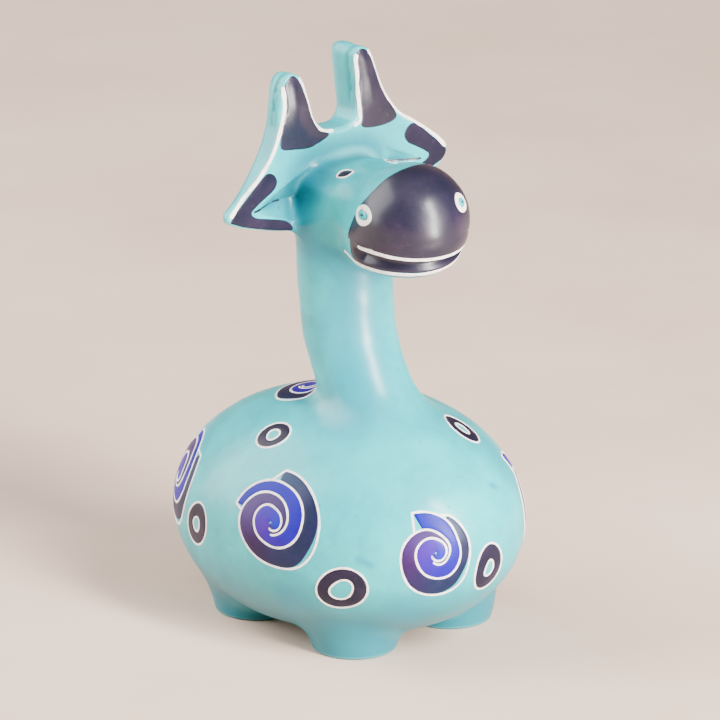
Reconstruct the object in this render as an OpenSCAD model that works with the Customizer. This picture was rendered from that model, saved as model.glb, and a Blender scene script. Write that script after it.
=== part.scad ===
// Carved soapstone giraffe: one stone block, with a thin dyed layer in each decorated field.
// Millimetres. The giraffe looks along -Y, its right side is -X, and its soles rest on z = 0.

/* [Torso] */
// Width of the torso, flank to flank
torso_w = 68.8; // [58:0.2:74]
// Length of the torso, chest to rump
torso_l = 91.8; // [80:0.2:104]
// Height of the egg that the torso is carved to
torso_h = 55.4; // [50:0.2:60]
// Height of the torso's widest line above the soles
torso_z = 27; // [24:0.1:28]
// How far the torso leans, chest up and rump down, in degrees
torso_lean = 5; // [0:0.5:8]
// Height of the flat underside between the feet
belly_z = 4.5; // [4:0.1:8]

/* [Feet] */
// Distance between the left and right foot centres
foot_gap_x = 29; // [24:0.2:36]
// Distance between the front and rear foot centres
foot_gap_y = 33.4; // [28:0.2:44]
// Width of one foot where it leaves the belly
foot_w = 21.6; // [16:0.2:23]

/* [Neck] */
// Width of the neck at half its height
neck_w = 20.8; // [17:0.2:24]

/* [Head] */
// Thickness of the flat plate that carries the ears and horns
plate_t = 7.5; // [5:0.1:9]
// Thickness that is left at an ear's tip
ear_tip_t = 2.4; // [1.5:0.1:4]
// Width of the muzzle
muzzle_w = 25.6; // [22:0.2:28]
// Height of the muzzle above the mouth line and below it together
muzzle_h = 25.2; // [20:0.2:26]
// Depth of the muzzle, front to back
muzzle_l = 26.4; // [20:0.2:28]
// Height of the open mouth groove
mouth_h = 2.4; // [1.5:0.1:3]
// Depth of the open mouth groove
mouth_d = 1.6; // [0.8:0.1:2.5]
// Length of one eye
eye_l = 3.2; // [2:0.1:4.5]
// Diameter of the dyed dot inside each nostril ring
nostril_d = 2.2; // [1.5:0.1:3]

/* [Decoration] */
// Depth that the dye soaks into the stone, and depth of the engraving
dye_t = 0.4; // [0.2:0.05:0.8]
// Width of an engraved line of bare stone
line_w = 0.55; // [0.4:0.05:0.9]
// Radius of a full-size spiral
spiral_r = 12; // [8:0.1:13]

/* [Hidden] */

TEAL = [0.5, 0.8, 0.82];
INDIGO = [0.2, 0.16, 0.3];
ULTRAMARINE = [0.22, 0.17, 0.62];

// Facets round the torso, the neck, the head's rounded forms and a foot.
torso_fn = 48;
neck_fn = 28;
head_fn = 32;
foot_fn = 20;
// Facets round an eye or a nostril, and round a ring's outside and inside.
dot_fn = 16;
ring_fn = 20;
hole_fn = 12;
// Reach of a cutter beyond the surface that it cuts.
reach = 6;

torso_half = [torso_w, torso_l, torso_h] / 2;
torso_mid = [0, -0.5, torso_z];
// The torso's lower half is a little boxier than an egg: this is its superellipse power.
belly_power = 2.2;

// The middle between the feet, and the height and half-height of the egg of each.
feet_mid = [2.9, 1];
foot_z = 9.5;
foot_h = 20;

// Neck stations from chest to nape: height, y of the centre, half-width and half-depth
// as shares of the neck's own half-width.
neck_x = -0.9;
NECK = [[34, -16.4, 1.3, 1.92], [44, -14.6, 1.12, 1.55], [50, -12.6, 1.06, 1.4], [55, -9.3, 1.02, 1.2],
    [61, -5.6, 1, 1.06], [67, -2.9, 1.01, 1.02], [79, -0.9, 1.04, 1.02], [91, -0.5, 1.08, 1.04],
    [96, -0.4, 1.1, 1.04], [101, -0.4, 0.95, 0.97], [105, 0.2, 0.84, 0.8], [107, 1, 0.6, 0.55]];

// Front view outline of the ears and horns, x and z, from the right ear's tip over the top.
plate_y = 2.6;
PLATE = [[-32.2, 101.5], [-26.4, 106], [-22.7, 109.2], [-19.4, 113.3], [-17.6, 118.2], [-17.1, 124],
    [-16.2, 128.5], [-13.8, 130.4], [-10.9, 128.9], [-8.8, 124], [-6.8, 118.6], [-4.4, 116],
    [-0.9, 115.2], [3.1, 115.2], [5.6, 117.4], [5.6, 123], [4.9, 130.5], [6.6, 132.8], [9.5, 131.6],
    [11.6, 127.4], [13.9, 121.6], [18.1, 116], [23, 112.8], [28.6, 108.8], [32.8, 104.9],
    [31.4, 101.2], [25.6, 97.6], [15.1, 94.8], [0, 93.5], [-13.9, 94], [-24.9, 96.6], [-31.4, 98.9]];
// Where an ear starts to thin towards its tip, and heights below and above both ears.
ear_root_x = 12;
ear_tip_x = 33;
under_ears_z = 90;
over_ears_z = 120;
// Front view of the region that holds the horns' dyed fronts and leaves out the gap between them.
HORN_FIELD = [[-25, 115], [-25, 140], [25, 140], [25, 115], [16, 115], [9, 117.5], [3, 125], [-4, 118],
    [-8.5, 115]];
// Clearance that keeps a pocket's edge off the plate's own edge.
edge_play = 0.02;
// The bare line that runs round the plate's front edge.
edge_line = 0.9;
// Front view of the dyed V on the right ear; the left ear's is its mirror image, raised.
EAR_V = [[-33, 101.2], [-27.5, 105.4], [-22.6, 109.6], [-19.8, 108.8], [-20, 106.2], [-22.6, 103.6],
    [-26.5, 100.2], [-20, 98.2], [-15, 97.4], [-14.2, 93], [-25, 95], [-33, 98]];
// The hollow inside the V: its three rim corners, and its deep point.
EAR_HOLLOW = [[-25.4, 100.4], [-16, 105.5], [-14.5, 97.8]];
ear_hollow_deep = [-15.5, 100.8];
ear_hollow_d = 2.4;
left_ear_rise = 2.6;

// Head forms: centre and half-sizes.
skull_mid = [0.5, -6.5, 100];
skull_half = [11.4, 15, 9.2];
jaw_mid = [-0.4, -19.2, 96.8];
jaw_half = [12.6, 13.6, 9.8];
muzzle_mid = [-0.3, -22, 99.8];
muzzle_half = [muzzle_w, muzzle_l, muzzle_h] / 2;
// The muzzle's dye starts at a plane this far behind its centre, leaning forward at the top.
muzzle_edge = 6;
muzzle_edge_lean = 26;
mouth_z = 92;
// The mouth starts this far behind the jaw's centre.
mouth_start = 2;
lip_z = mouth_z + mouth_h / 2 + line_w;
// Direction of each nostril and eye from the centre of its form: turn from +X, then rise.
nostril_right = [168.8, 12.9];
nostril_left = [-65.1, 24.9];
eye_turn = 10.4;
eye_rise = 51;
eye_roll = 43;
// Height of an eye as a share of its length.
eye_share = 0.6;

// A spiral has two bands between two engraved lines that wind clockwise to the centre.
// Each drawing lists the radius of its outer and inner line, as a share of spiral_r, at every
// 45 degrees, then the angle at which each of the two lines starts.
spiral_step = 45;
band_step = 15;
// A disc of this share of spiral_r lies wholly inside either drawing.
patch_share = 0.5;
WIDE = [[0.98, 1, 1.05, 0.99, 0.81, 0.77, 0.78, 0.66, 0.53, 0.44, 0.36, 0.27, 0.22],
    [0.94, 0.83, 0.75, 0.74, 0.65, 0.51, 0.41, 0.4, 0.4, 0.36, 0.28, 0.26, 0.23, 0.17, 0.1], 0, -75];
TALL = [[0.72, 0.68, 0.71, 0.88, 0.85, 0.7, 0.61, 0.49, 0.34, 0.29, 0.26, 0.25, 0.18],
    [0.84, 0.65, 0.49, 0.5, 0.55, 0.48, 0.4, 0.37, 0.32, 0.25, 0.22, 0.2, 0.18, 0.13, 0.09], 22, -27];

// Each spiral: its drawing, its place on the torso as turn from +X, rise and roll, and its size.
RIGHT_SIDE = [WIDE, -165.5, 11.1, 0, 1];
CHEST = [TALL, -110.6, -1.9, 0, 1];
RIGHT_FLANK = [WIDE, 137, 18, 50, 0.95];
BACK = [WIDE, 109, 78.6, -20, 0.74];
LEFT_SHOULDER = [TALL, -44, 7, 0, 1.1];
LEFT_SIDE = [WIDE, 8, 9, 5, 0.97];
RUMP = [TALL, 84, 8, -10, 1.1];

// Each ring: turn from +X, rise, roll, half-width, half-height, and its hole as a share of those.
RIGHT_BACK_RING = [-177.6, 50.8, -14, 4.5, 3.7, 0.39];
RIGHT_HIP_RING = [161.2, 0.8, 39, 4.3, 5.5, 0.32];
RIGHT_SHOULDER_RING = [-142.6, -18.6, -35, 6.6, 5.1, 0.46];
CHEST_RING = [-86.8, -15.2, -5, 4.1, 6.1, 0.32];
LEFT_BACK_RING = [-62.7, 46.4, 25, 3.5, 5.2, 0.35];
LEFT_SIDE_RING = [-18, -18, 0, 5, 5.6, 0.42];
LEFT_HIP_RING = [40, 38, 0, 4.6, 4, 0.4];
RUMP_RING = [112, -16, 0, 5.2, 5.4, 0.42];

function along(list, step, angle) =
    let (t = angle / step, i = min(floor(t), len(list) - 2), f = t - i)
    list[i] * (1 - f) + list[i + 1] * f;
function outer_r(drawing, angle) = along(drawing[0], spiral_step, angle - drawing[2]) * spiral_r;
function inner_r(drawing, angle) = along(drawing[1], spiral_step, angle - drawing[3]) * spiral_r;
function outer_end(drawing) = drawing[2] + spiral_step * (len(drawing[0]) - 1);
function inner_end(drawing) = drawing[3] + spiral_step * (len(drawing[1]) - 1);
// A point at a clockwise angle from straight up.
function clock(radius, angle) = radius * [sin(angle), cos(angle)];
function through(p, q, r, s, t) =
    0.5 * (2 * q + (r - p) * t + (2 * p - 5 * q + 4 * r - s) * t * t
        + (3 * q - p - 3 * r + s) * t * t * t);
// A smooth closed curve through points, with n steps between neighbours.
function smooth(points, n) = [for (i = [0:len(points) - 1], j = [0:n - 1])
    let (m = len(points))
    through(points[(i + m - 1) % m], points[i], points[(i + 1) % m], points[(i + 2) % m], j / n)];
// A point on an egg, and the direction that points straight out of it there.
function on_egg(mid, half, turn, rise) =
    mid + [half.x * cos(rise) * cos(turn), half.y * cos(rise) * sin(turn), half.z * sin(rise)];
function out_of_egg(half, turn, rise) =
    let (n = [cos(rise) * cos(turn) / half.x, cos(rise) * sin(turn) / half.y, sin(rise) / half.z])
    n / norm(n);

// Stands a flat shape upright on an egg's surface, looking straight out.
module face_out(mid, half, turn, rise, roll = 0) {
    p = on_egg(mid, half, turn, rise);
    n = out_of_egg(half, turn, rise);
    level = cross([0, 0, 1], n);
    u = level / norm(level);
    v = cross(n, u);
    multmatrix([[u.x, v.x, n.x, p.x], [u.y, v.y, n.y, p.y], [u.z, v.z, n.z, p.z]])
        rotate([0, 0, -roll])
        translate([0, 0, -reach])
        linear_extrude(2 * reach)
        children();
}

module egg(mid, half, grow = 0, fn = head_fn) {
    translate(mid)
        scale(half + [grow, grow, grow])
        sphere(r = 1, $fn = fn);
}

// Sets a form that is drawn round the origin in its place in the leaning torso.
module in_torso() {
    translate(torso_mid)
        rotate([-torso_lean, 0, 0])
        children();
}

// An egg whose lower half bulges, turned round its upright axis and stretched lengthwise.
module torso_egg(grow = 0) {
    step = 360 / torso_fn;
    profile = [for (a = [-90:step:90])
        let (power = a < 0 ? belly_power : 2)
        [pow(cos(a), 2 / power), sign(a) * pow(abs(sin(a)), 2 / power)]];
    in_torso()
        scale(torso_half + [grow, grow, grow])
        rotate_extrude($fn = torso_fn)
        polygon(profile);
}

// What is cut away under the flat belly.
module underside() {
    translate([-torso_w, -torso_l, belly_z - torso_h])
        cube([2 * torso_w, 2 * torso_l, torso_h]);
}

module torso() {
    difference() {
        torso_egg();
        underside();
    }
}

module feet() {
    for (sx = [-1, 1], sy = [-1, 1])
        translate([feet_mid.x + sx * foot_gap_x / 2, feet_mid.y + sy * foot_gap_y / 2, 0])
            intersection() {
                translate([0, 0, foot_z])
                    scale([foot_w / 2, foot_w / 2, foot_h])
                    sphere(r = 1, $fn = foot_fn);
                translate([-foot_w, -foot_w, 0])
                    cube(2 * foot_w);
            }
}

// The neck is a tube swept through its stations.
module neck() {
    rings = [for (s = NECK, i = [0:neck_fn - 1])
        let (a = 360 * i / neck_fn)
        [neck_x + neck_w / 2 * s[2] * cos(a), s[1] + neck_w / 2 * s[3] * sin(a), s[0]]];
    walls = [for (k = [0:len(NECK) - 2], i = [0:neck_fn - 1])
        let (j = (i + 1) % neck_fn, low = k * neck_fn, high = low + neck_fn)
        [low + i, high + i, high + j, low + j]];
    bottom = [for (i = [0:neck_fn - 1]) i];
    top = [for (i = [neck_fn - 1:-1:0]) (len(NECK) - 1) * neck_fn + i];
    polyhedron(rings, concat(walls, [bottom, top]));
}

// A flat shape drawn in front view, pushed back from the plate's front face.
module plate_slab(depth, out = 0) {
    translate([0, plate_y + depth, 0])
        rotate([90, 0, 0])
        linear_extrude(depth + out)
        children();
}

// Cuts the back of an ear away, from its root to its thin tip.
module ear_thinning(side) {
    cut = plate_t - ear_tip_t;
    translate([0, plate_y + plate_t, under_ears_z])
        linear_extrude(over_ears_z - under_ears_z)
        polygon([[side * ear_root_x, 0], [side * ear_root_x, reach], [side * (ear_tip_x + 1), reach],
            [side * (ear_tip_x + 1), -cut]]);
}

module ear_hollow() {
    hull() {
        plate_slab(edge_play, dye_t)
            polygon(EAR_HOLLOW);
        translate([ear_hollow_deep.x, plate_y + ear_hollow_d, ear_hollow_deep.y])
            sphere(r = dye_t, $fn = 8);
    }
}

module left_ear_side() {
    translate([0, 0, left_ear_rise])
        mirror([1, 0, 0])
        children();
}

module plate() {
    difference() {
        plate_slab(plate_t)
            polygon(smooth(PLATE, 3));
        ear_thinning(-1);
        ear_thinning(1);
        ear_hollow();
        left_ear_side()
            ear_hollow();
    }
}

module muzzle_egg(grow = 0) {
    egg(muzzle_mid, muzzle_half, grow);
}

module snout() {
    egg(skull_mid, skull_half);
    egg(jaw_mid, jaw_half);
    muzzle_egg();
}

// The mouth is a level slot that follows the jaw's front; inset is how deep it reaches.
module mouth_slot(inset) {
    difference() {
        translate([-muzzle_w, jaw_mid.y + mouth_start - muzzle_l, mouth_z - mouth_h / 2])
            cube([2 * muzzle_w, muzzle_l, mouth_h]);
        egg(jaw_mid, jaw_half, -inset);
    }
}

// Everything in front of the muzzle dye's rear edge.
module muzzle_front(grow = 0) {
    translate(muzzle_mid)
        rotate([muzzle_edge_lean, 0, 0])
        translate([-muzzle_w, grow + muzzle_edge - 2 * muzzle_l, -2 * muzzle_h])
        cube([2 * muzzle_w, 2 * muzzle_l, 4 * muzzle_h]);
}

// Everything above the upper lip.
module above_lip(grow = 0) {
    translate([-muzzle_w, muzzle_mid.y - muzzle_l, lip_z - grow])
        cube([2 * muzzle_w, 2 * muzzle_l, muzzle_h]);
}

module nostril(place, radius) {
    face_out(muzzle_mid, muzzle_half, place[0], place[1])
        circle(r = radius, $fn = dot_fn);
}

module eye(side, grow = 0) {
    turn = side < 0 ? 180 + eye_turn : -eye_turn;
    face_out(skull_mid, skull_half, turn, eye_rise, side * eye_roll)
        scale([eye_l / 2 + grow, eye_l * eye_share / 2 + grow])
        circle(r = 1, $fn = dot_fn);
}

module horn_front(side, inset) {
    intersection() {
        offset(delta = -inset)
            polygon(smooth(PLATE, 3));
        offset(delta = edge_line - inset)
            polygon(HORN_FIELD);
        scale([side, 1])
            square([ear_tip_x, 2 * under_ears_z]);
    }
}

module ear_mark(inset) {
    intersection() {
        offset(delta = -inset)
            polygon(smooth(PLATE, 3));
        offset(delta = edge_line - inset)
            polygon(EAR_V);
    }
}

module left_ear_mark(inset) {
    intersection() {
        offset(delta = -inset)
            polygon(smooth(PLATE, 3));
        offset(delta = edge_line - inset)
            translate([0, left_ear_rise])
            mirror([1, 0])
            polygon(EAR_V);
    }
}

// The two bands of a spiral. Its size only sets how far they stay from the engraved lines.
module dark_band(drawing, size) {
    gap = line_w / 2 / size;
    start = drawing[2];
    end = outer_end(drawing);
    polygon(concat(
        [for (a = [start:band_step:end]) clock(outer_r(drawing, a) - gap, a)],
        [for (a = [end:-band_step:start]) clock(inner_r(drawing, a) + gap, a)]));
}

module blue_band(drawing, size) {
    gap = line_w / 2 / size;
    start = drawing[3];
    polygon(concat(
        [for (a = [start:band_step:inner_end(drawing)]) clock(inner_r(drawing, a) - gap, a)],
        [for (a = [outer_end(drawing):-band_step:start + 360]) clock(outer_r(drawing, a) + gap, a)]));
}

// The whole patch that a spiral covers, with the engraved line round it.
module spiral_patch(drawing) {
    offset(delta = line_w)
        union() {
            dark_band(drawing, 1);
            blue_band(drawing, 1);
            circle(r = spiral_r * patch_share, $fn = head_fn);
        }
}

// Sets a flat figure in its place on the torso.
module on_torso(turn, rise, roll) {
    in_torso()
        face_out([0, 0, 0], torso_half, turn, rise, roll)
        children();
}

// Sets a spiral's figure in its place.
module at_spiral(place) {
    on_torso(place[1], place[2], place[3])
        scale([place[4], place[4]])
        children();
}

module spiral_cut(place) {
    at_spiral(place)
        spiral_patch(place[0]);
}

module ring_shape(place, grow) {
    difference() {
        scale([place[3] + grow, place[4] + grow])
            circle(r = 1, $fn = ring_fn);
        scale([place[3] * place[5] - grow, place[4] * place[5] - grow])
            circle(r = 1, $fn = hole_fn);
    }
}

module ring_cut(place, grow = 0) {
    on_torso(place[0], place[1], place[2])
        ring_shape(place, grow);
}

// The dyed skin of the torso inside a cutter.
module torso_dye() {
    resize([0, 0, 0])
        difference() {
            intersection() {
                torso_egg();
                children();
            }
            torso_egg(-dye_t);
        }
}

// A cutter that only reaches as deep into the torso as its dye does.
module torso_pocket() {
    difference() {
        children();
        torso_egg(-dye_t);
    }
}

// The same for another egg of the carving.
module pocket(mid, half) {
    difference() {
        children();
        egg(mid, half, -dye_t);
    }
}

module spiral_dark(place) {
    color(INDIGO)
        torso_dye()
        at_spiral(place)
        dark_band(place[0], place[4]);
}

module spiral_blue(place) {
    color(ULTRAMARINE)
        torso_dye()
        at_spiral(place)
        blue_band(place[0], place[4]);
}

module ring(place) {
    color(INDIGO)
        torso_dye()
        ring_cut(place);
}

module muzzle_pocket() {
    pocket(muzzle_mid, muzzle_half)
        intersection() {
            muzzle_egg(reach);
            muzzle_front(line_w);
            above_lip(line_w);
        }
}

module carved_stone() {
    color(TEAL)
        resize([0, 0, 0])
        difference() {
            union() {
                torso();
                feet();
                neck();
                plate();
                snout();
            }
            for (place = [RIGHT_SIDE, CHEST, RIGHT_FLANK, BACK, LEFT_SHOULDER, LEFT_SIDE, RUMP])
                torso_pocket()
                    spiral_cut(place);
            for (place = [RIGHT_BACK_RING, RIGHT_HIP_RING, RIGHT_SHOULDER_RING, CHEST_RING,
                    LEFT_BACK_RING, LEFT_SIDE_RING, LEFT_HIP_RING, RUMP_RING])
                torso_pocket()
                    ring_cut(place, line_w);
            muzzle_pocket();
            mouth_slot(mouth_d + dye_t);
            for (side = [-1, 1])
                pocket(skull_mid, skull_half)
                    eye(side, line_w);
            for (side = [-1, 1])
                plate_slab(dye_t, reach)
                    horn_front(side, edge_play);
            plate_slab(dye_t, dye_t)
                ear_mark(edge_play);
            plate_slab(dye_t, dye_t)
                left_ear_mark(edge_play);
        }
}

module muzzle_dye() {
    color(INDIGO)
        resize([0, 0, 0])
        difference() {
            intersection() {
                muzzle_egg();
                muzzle_front();
                above_lip();
            }
            muzzle_egg(-dye_t);
            nostril(nostril_right, nostril_d / 2 + line_w);
            nostril(nostril_left, nostril_d / 2 + line_w);
        }
}

// The dyed back wall of the mouth's slot.
module mouth_groove_dye() {
    color(INDIGO)
        resize([0, 0, 0])
        intersection() {
            mouth_slot(mouth_d + dye_t);
            egg(jaw_mid, jaw_half, -mouth_d);
        }
}

module nostril_dye(place) {
    color(TEAL)
        resize([0, 0, 0])
        difference() {
            intersection() {
                muzzle_egg();
                nostril(place, nostril_d / 2);
            }
            muzzle_egg(-dye_t);
        }
}

module right_nostril_dye() {
    nostril_dye(nostril_right);
}

module left_nostril_dye() {
    nostril_dye(nostril_left);
}

module eye_dye(side) {
    color(INDIGO)
        resize([0, 0, 0])
        difference() {
            intersection() {
                egg(skull_mid, skull_half);
                eye(side);
            }
            egg(skull_mid, skull_half, -dye_t);
        }
}

module right_eye_dye() {
    eye_dye(-1);
}

module left_eye_dye() {
    eye_dye(1);
}

module right_horn_dye() {
    color(INDIGO)
        plate_slab(dye_t)
        horn_front(-1, edge_line);
}

module left_horn_dye() {
    color(INDIGO)
        plate_slab(dye_t)
        horn_front(1, edge_line);
}

module right_ear_dye() {
    color(INDIGO)
        plate_slab(dye_t)
        ear_mark(edge_line);
}

module left_ear_dye() {
    color(INDIGO)
        plate_slab(dye_t)
        left_ear_mark(edge_line);
}

module right_side_spiral_dark() {
    spiral_dark(RIGHT_SIDE);
}

module right_side_spiral_blue() {
    spiral_blue(RIGHT_SIDE);
}

module chest_spiral_dark() {
    spiral_dark(CHEST);
}

module chest_spiral_blue() {
    spiral_blue(CHEST);
}

module right_flank_spiral_dark() {
    spiral_dark(RIGHT_FLANK);
}

module right_flank_spiral_blue() {
    spiral_blue(RIGHT_FLANK);
}

module back_spiral_dark() {
    spiral_dark(BACK);
}

module back_spiral_blue() {
    spiral_blue(BACK);
}

module left_shoulder_spiral_dark() {
    spiral_dark(LEFT_SHOULDER);
}

module left_shoulder_spiral_blue() {
    spiral_blue(LEFT_SHOULDER);
}

module left_side_spiral_dark() {
    spiral_dark(LEFT_SIDE);
}

module left_side_spiral_blue() {
    spiral_blue(LEFT_SIDE);
}

module rump_spiral_dark() {
    spiral_dark(RUMP);
}

module rump_spiral_blue() {
    spiral_blue(RUMP);
}

module right_back_ring() {
    ring(RIGHT_BACK_RING);
}

module right_hip_ring() {
    ring(RIGHT_HIP_RING);
}

module right_shoulder_ring() {
    ring(RIGHT_SHOULDER_RING);
}

module chest_ring() {
    ring(CHEST_RING);
}

module left_back_ring() {
    ring(LEFT_BACK_RING);
}

module left_side_ring() {
    ring(LEFT_SIDE_RING);
}

module left_hip_ring() {
    ring(LEFT_HIP_RING);
}

module rump_ring() {
    ring(RUMP_RING);
}

carved_stone();
muzzle_dye();
mouth_groove_dye();
right_nostril_dye();
left_nostril_dye();
right_eye_dye();
left_eye_dye();
right_horn_dye();
left_horn_dye();
right_ear_dye();
left_ear_dye();
right_side_spiral_dark();
right_side_spiral_blue();
chest_spiral_dark();
chest_spiral_blue();
right_flank_spiral_dark();
right_flank_spiral_blue();
back_spiral_dark();
back_spiral_blue();
left_shoulder_spiral_dark();
left_shoulder_spiral_blue();
left_side_spiral_dark();
left_side_spiral_blue();
rump_spiral_dark();
rump_spiral_blue();
right_back_ring();
right_hip_ring();
right_shoulder_ring();
chest_ring();
left_back_ring();
left_side_ring();
left_hip_ring();
rump_ring();
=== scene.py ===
"""The looks of the carved soapstone giraffe: its stone, its dyes and its engraved lines.

Shapes are worked out in millimetres, in the frame of the CAD part, and stored in metres.
The giraffe looks along -Y and its right side is -X.
"""

import math

import bpy
import numpy as np
from mathutils import Matrix, Vector, geometry

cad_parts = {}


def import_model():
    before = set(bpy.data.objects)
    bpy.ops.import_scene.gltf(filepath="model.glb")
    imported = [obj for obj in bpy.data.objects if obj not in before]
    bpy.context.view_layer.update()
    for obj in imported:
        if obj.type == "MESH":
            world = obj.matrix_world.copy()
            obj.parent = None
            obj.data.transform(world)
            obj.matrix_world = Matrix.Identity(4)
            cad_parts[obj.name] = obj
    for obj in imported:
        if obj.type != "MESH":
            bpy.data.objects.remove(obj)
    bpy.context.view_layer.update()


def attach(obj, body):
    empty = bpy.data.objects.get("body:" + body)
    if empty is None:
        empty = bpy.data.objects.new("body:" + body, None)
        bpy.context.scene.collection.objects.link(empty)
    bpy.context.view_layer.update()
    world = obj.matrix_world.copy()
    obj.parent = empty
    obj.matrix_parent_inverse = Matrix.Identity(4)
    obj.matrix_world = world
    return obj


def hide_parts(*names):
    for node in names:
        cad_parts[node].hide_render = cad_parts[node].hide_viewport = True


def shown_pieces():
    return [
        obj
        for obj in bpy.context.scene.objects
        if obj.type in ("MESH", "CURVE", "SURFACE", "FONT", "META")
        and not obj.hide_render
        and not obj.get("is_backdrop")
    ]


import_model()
MM = 0.001

# ---------------------------------------------------------------- sizes, as in the CAD part
TORSO_MID = np.array([0, -0.5, 27.0])
TORSO_HALF = np.array([34.4, 45.9, 27.7])
# The torso's egg is carried chest up, rump down.
TORSO_TILT = math.radians(-5.0)
BELLY_POWER = 2.2
BELLY_Z = 4.5
FEET_MID = (2.9, 1.0)
FEET_REACH = (14.5, 16.7)
FOOT_HALF = np.array([10.8, 10.8, 20.0])
FOOT_Z = 9.5
NECK_X = -0.9
NECK_HALF = 10.4
# Height, y, half-width and half-depth of each neck station; the last two as shares of NECK_HALF.
NECK = np.array([
    [34, -16.4, 1.3, 1.92], [44, -14.6, 1.12, 1.55], [50, -12.6, 1.06, 1.4], [55, -9.3, 1.02, 1.2],
    [61, -5.6, 1, 1.06], [67, -2.9, 1.01, 1.02], [79, -0.9, 1.04, 1.02], [91, -0.5, 1.08, 1.04],
    [96, -0.4, 1.1, 1.04], [101, -0.4, 0.95, 0.97], [105, 0.2, 0.84, 0.8], [107, 1, 0.6, 0.55]])
PLATE_Y = 2.6
PLATE_T = 7.5
EAR_TIP_T = 2.4
EAR_ROOT_X = 12.0
EAR_TIP_X = 33.0
# A box round the plate: half-width, middle and half-depth in y, lowest z. Outside it, the plate's
# distance is only rough, and at least PLATE_MARGIN.
PLATE_REACH = (36, 6, 9, 88)
PLATE_MARGIN = 6
# The horns' own form fades in from this height, over this much.
HORN_FOOT = (112, 12)
# Rounding of the plate's front edges, of its rear edges, and what the horns add at the rear.
FRONT_ROUND = 0.8
REAR_ROUND = 2.2
HORN_ROUND = 3
# How far a horn's front swells between its two edges.
HORN_DOME = 1.1
# How much thicker than the plate the right and the left horn are, to the back.
HORN_THICK = (0.2, 3.1)
PLATE = [
    [-32.2, 101.5], [-26.4, 106], [-22.7, 109.2], [-19.4, 113.3], [-17.6, 118.2], [-17.1, 124],
    [-16.2, 128.5], [-13.8, 130.4], [-10.9, 128.9], [-8.8, 124], [-6.8, 118.6], [-4.4, 116],
    [-0.9, 115.2], [3.1, 115.2], [5.6, 117.4], [5.6, 123], [4.9, 130.5], [6.6, 132.8], [9.5, 131.6],
    [11.6, 127.4], [13.9, 121.6], [18.1, 116], [23, 112.8], [28.6, 108.8], [32.8, 104.9],
    [31.4, 101.2], [25.6, 97.6], [15.1, 94.8], [0, 93.5], [-13.9, 94], [-24.9, 96.6], [-31.4, 98.9]]
LEFT_EAR_RISE = 2.6
# The hollow in an ear: its crease runs from the tip's end to the head, between two slopes.
EAR_CREASE = ((-25.6, 100.6), (-10.5, 100.9))
EAR_HOLLOW_TOP = (-11.5, 107.2)
EAR_HOLLOW_LOW = (-11.5, 95.2)
EAR_HOLLOW_D = 3.4
# Where the dark line of painted shade in each ear's crease ends, as a share of the crease.
CREASE_END = {"right": 0.72, "left": 0.6}
# Where the left and the right ear's hollow fades out, as a share of the crease.
EAR_HOLLOW_END = (0.85, 1.5)
SKULL = (np.array([0.5, -6.5, 100.0]), np.array([11.2, 14.5, 8.9]))
# The skull is boxier than an egg across: this is the power of its cross-section.
SKULL_POWER = 3.0
JAW = (np.array([-0.4, -19.2, 96.8]), np.array([12.6, 13.6, 9.6]))
# The chin is boxier than an egg: this is the power of the jaw's lower half.
CHIN_POWER = 2.8
MUZZLE = (np.array([-0.3, -22, 99.8]), np.array([12.8, 13.2, 12.6]))

# How softly neighbouring forms run into each other.
BLEND = {"belly": 1.5, "feet": 4, "neck_ends": 3, "neck": 5, "jaw": 1.5, "snout": 4, "plate": 5, "head": 3,
         "soles": 0.6}

# ---------------------------------------------------------------- figures on the torso
SPIRAL_R = 12.0
LINE_W = 0.55
# The two engraved lines of a spiral wind clockwise to the centre. Each list gives a line's radius,
# as a share of SPIRAL_R, at every 45 degrees from its start. A tail's end leans back by its lean.
DRAWINGS = {
    "wide": {"outer": [0.98, 1, 1.05, 0.99, 0.81, 0.77, 0.78, 0.66, 0.53, 0.44, 0.36, 0.27, 0.22],
             "outer_start": 0.0,
             "inner": [0.94, 0.83, 0.75, 0.74, 0.65, 0.51, 0.41, 0.4, 0.4, 0.36, 0.28, 0.26, 0.23, 0.17, 0.1],
             "inner_start": -75.0, "lean": 4.0},
    "tall": {"outer": [0.72, 0.68, 0.71, 0.88, 0.85, 0.7, 0.61, 0.49, 0.34, 0.29, 0.26, 0.25, 0.18],
             "outer_start": 22.0,
             "inner": [0.84, 0.65, 0.49, 0.5, 0.55, 0.48, 0.4, 0.37, 0.32, 0.25, 0.22, 0.2, 0.18, 0.13, 0.09],
             "inner_start": -27.0, "lean": 16.0},
}
# Drawing, turn from +X, rise, roll, and the size across and up.
SPIRALS = {
    "right_side": ("wide", -165.5, 11.1, 0, 1, 1),
    "chest": ("tall", -110.6, -1.9, 0, 1, 1),
    "right_flank": ("wide", 137, 18, 50, 0.95, 0.95),
    "back": ("wide", 109, 78.6, -20, 0.74, 0.74),
    "left_shoulder": ("tall", -44, 7, 0, 1.1, 1.1),
    "left_side": ("wide", 8, 9, 5, 1, 0.95),
    "rump": ("tall", 84, 8, -10, 1.1, 1.1),
}
# Turn, rise, roll, half-width, half-height, and the hole's share of them.
RINGS = {
    "right_back_ring": (-177.6, 50.8, -14, 4.5, 3.7, 0.39),
    "right_hip_ring": (161.2, 0.8, 39, 4.3, 5.5, 0.32),
    "right_shoulder_ring": (-142.6, -18.6, -35, 6.6, 5.1, 0.46),
    "chest_ring": (-86.8, -15.2, -5, 4.1, 6.1, 0.32),
    "left_back_ring": (-62.7, 46.4, 25, 3.5, 5.2, 0.35),
    "left_side_ring": (-18, -18, 0, 5, 5.6, 0.42),
    "left_hip_ring": (40, 38, 0, 4.6, 4, 0.4),
    "rump_ring": (112, -16, 0, 5.2, 5.4, 0.42),
}

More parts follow.
